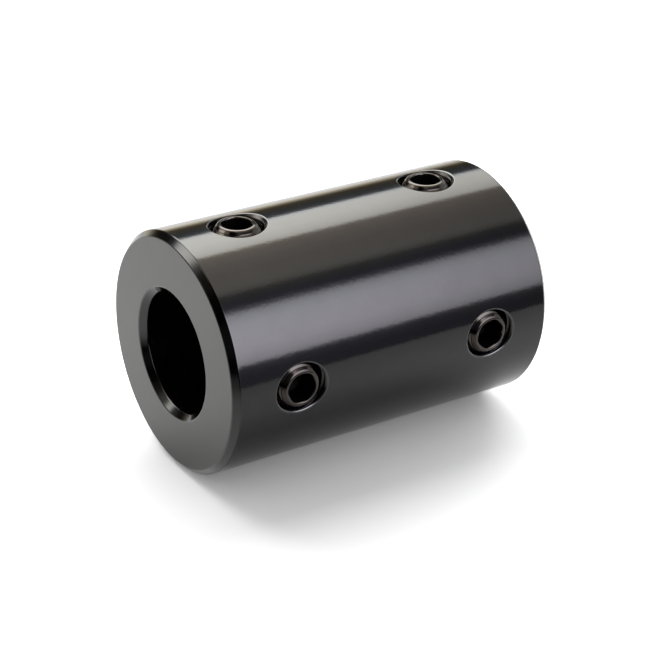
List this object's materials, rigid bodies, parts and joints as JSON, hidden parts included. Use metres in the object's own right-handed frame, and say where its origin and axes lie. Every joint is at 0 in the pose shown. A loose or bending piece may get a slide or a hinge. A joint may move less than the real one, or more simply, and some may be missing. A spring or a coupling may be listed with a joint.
{
  "type": "rigid shaft coupling",
  "caption": "Bored cylindrical sleeve that joins two shafts end to end, clamped by socket set screws in two rows a quarter turn apart.",
  "frame": {"origin": "on the axis of the bore, at mid-length of the sleeve", "axes": "+Z along the bore, up as the sleeve stands on one end; -Y out through one row of screws and +X out through the other"},
  "size_m": [0.0254, 0.0254, 0.0382],
  "materials": {
    "sleeve_steel": "turned steel, black oxide and oil, satin",
    "screw_steel": "heat-treated alloy steel, black oxide, satin"
  },
  "bodies": {
    "root": {"sleeve": "sleeve_steel", "front_top_screw": "screw_steel", "front_bottom_screw": "screw_steel", "side_top_screw": "screw_steel", "side_bottom_screw": "screw_steel"}
  },
  "joints": []
}
